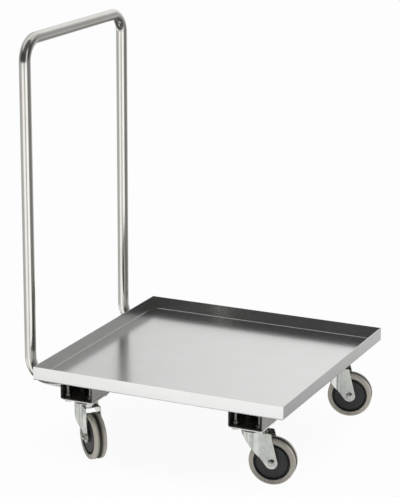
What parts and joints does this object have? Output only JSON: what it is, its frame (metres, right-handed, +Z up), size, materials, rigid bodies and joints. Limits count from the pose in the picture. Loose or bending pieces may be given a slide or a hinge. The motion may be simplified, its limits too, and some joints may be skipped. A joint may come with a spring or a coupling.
{
  "type": "dishwasher rack trolley",
  "caption": "Low square tray trolley for dishwasher racks, with a bent tube push handle at one side and swivel plate casters below.",
  "frame": {"origin": "on the floor, below the middle of the whole outline", "axes": "+X from the handle to the far edge of the tray, +Y from the front to the back, +Z up"},
  "size_m": [0.6381, 0.5864, 0.902],
  "materials": {
    "tray_steel": "satin stainless sheet",
    "tube_steel": "ground and polished stainless tube",
    "channel_steel": "plain stainless sheet",
    "zinc_pressing": "bright zinc plated pressing",
    "zinc_fastener": "zinc plated",
    "bearing_steel": "polished and greased",
    "seal_rubber": "matte",
    "hub_plastic": "fine moulded texture",
    "tyre_rubber": "grey non-marking rubber"
  },
  "bodies": {
    "chassis": {"tray": "tray_steel", "handle": "tube_steel", "left_channel": "channel_steel", "right_channel": "channel_steel", "caster_bolts": "zinc_fastener", "caster_washers": "zinc_fastener", "caster_nuts": "zinc_fastener", "front_left_top_plate": "zinc_pressing", "front_left_dust_seal": "seal_rubber", "front_left_kingpin": "zinc_fastener", "front_left_upper_ball_ring": "bearing_steel", "front_left_lower_race": "zinc_fastener", "front_right_top_plate": "zinc_pressing", "front_right_dust_seal": "seal_rubber", "front_right_kingpin": "zinc_fastener", "front_right_upper_ball_ring": "bearing_steel", "front_right_lower_race": "zinc_fastener", "back_left_top_plate": "zinc_pressing", "back_left_dust_seal": "seal_rubber", "back_left_kingpin": "zinc_fastener", "back_left_upper_ball_ring": "bearing_steel", "back_left_lower_race": "zinc_fastener", "back_right_top_plate": "zinc_pressing", "back_right_dust_seal": "seal_rubber", "back_right_kingpin": "zinc_fastener", "back_right_upper_ball_ring": "bearing_steel", "back_right_lower_race": "zinc_fastener"},
    "front_left_fork": {"front_left_fork": "zinc_pressing", "front_left_lower_ball_ring": "bearing_steel", "front_left_axle_bolt": "zinc_fastener", "front_left_axle_nut": "zinc_fastener", "front_left_axle_sleeve": "zinc_fastener"},
    "front_left_wheel": {"front_left_hub": "hub_plastic", "front_left_tyre": "tyre_rubber"},
    "front_right_fork": {"front_right_fork": "zinc_pressing", "front_right_lower_ball_ring": "bearing_steel", "front_right_axle_bolt": "zinc_fastener", "front_right_axle_nut": "zinc_fastener", "front_right_axle_sleeve": "zinc_fastener"},
    "front_right_wheel": {"front_right_hub": "hub_plastic", "front_right_tyre": "tyre_rubber"},
    "back_left_fork": {"back_left_fork": "zinc_pressing", "back_left_lower_ball_ring": "bearing_steel", "back_left_axle_bolt": "zinc_fastener", "back_left_axle_nut": "zinc_fastener", "back_left_axle_sleeve": "zinc_fastener"},
    "back_left_wheel": {"back_left_hub": "hub_plastic", "back_left_tyre": "tyre_rubber"},
    "back_right_fork": {"back_right_fork": "zinc_pressing", "back_right_lower_ball_ring": "bearing_steel", "back_right_axle_bolt": "zinc_fastener", "back_right_axle_nut": "zinc_fastener", "back_right_axle_sleeve": "zinc_fastener"},
    "back_right_wheel": {"back_right_hub": "hub_plastic", "back_right_tyre": "tyre_rubber"}
  },
  "joints": [
    {"name": "front_left_swivel", "type": "hinge", "parent": "chassis", "child": "front_left_fork", "pos_m": [-0.16825, -0.225, 0.1214], "axis": [0, 0, 1], "continuous": true},
    {"name": "front_left_roll", "type": "hinge", "parent": "front_left_fork", "child": "front_left_wheel", "pos_m": [-0.13629, -0.25377, 0.05], "axis": [0.6691, 0.7431, 0], "continuous": true},
    {"name": "front_right_swivel", "type": "hinge", "parent": "chassis", "child": "front_right_fork", "pos_m": [0.22575, -0.225, 0.1214], "axis": [0, 0, 1], "continuous": true},
    {"name": "front_right_roll", "type": "hinge", "parent": "front_right_fork", "child": "front_right_wheel", "pos_m": [0.26822, -0.21827, 0.05], "axis": [-0.1564, 0.9877, 0], "continuous": true},
    {"name": "back_left_swivel", "type": "hinge", "parent": "chassis", "child": "back_left_fork", "pos_m": [-0.16825, 0.225, 0.1214], "axis": [0, 0, 1], "continuous": true},
    {"name": "back_left_roll", "type": "hinge", "parent": "back_left_fork", "child": "back_left_wheel", "pos_m": [-0.12897, 0.24249, 0.05], "axis": [-0.4067, 0.9135, 0], "continuous": true},
    {"name": "back_right_swivel", "type": "hinge", "parent": "chassis", "child": "back_right_fork", "pos_m": [0.22575, 0.225, 0.1214], "axis": [0, 0, 1], "continuous": true},
    {"name": "back_right_roll", "type": "hinge", "parent": "back_right_fork", "child": "back_right_wheel", "pos_m": [0.26728, 0.23613, 0.05], "axis": [-0.2588, 0.9659, 0], "continuous": true}
  ]
}
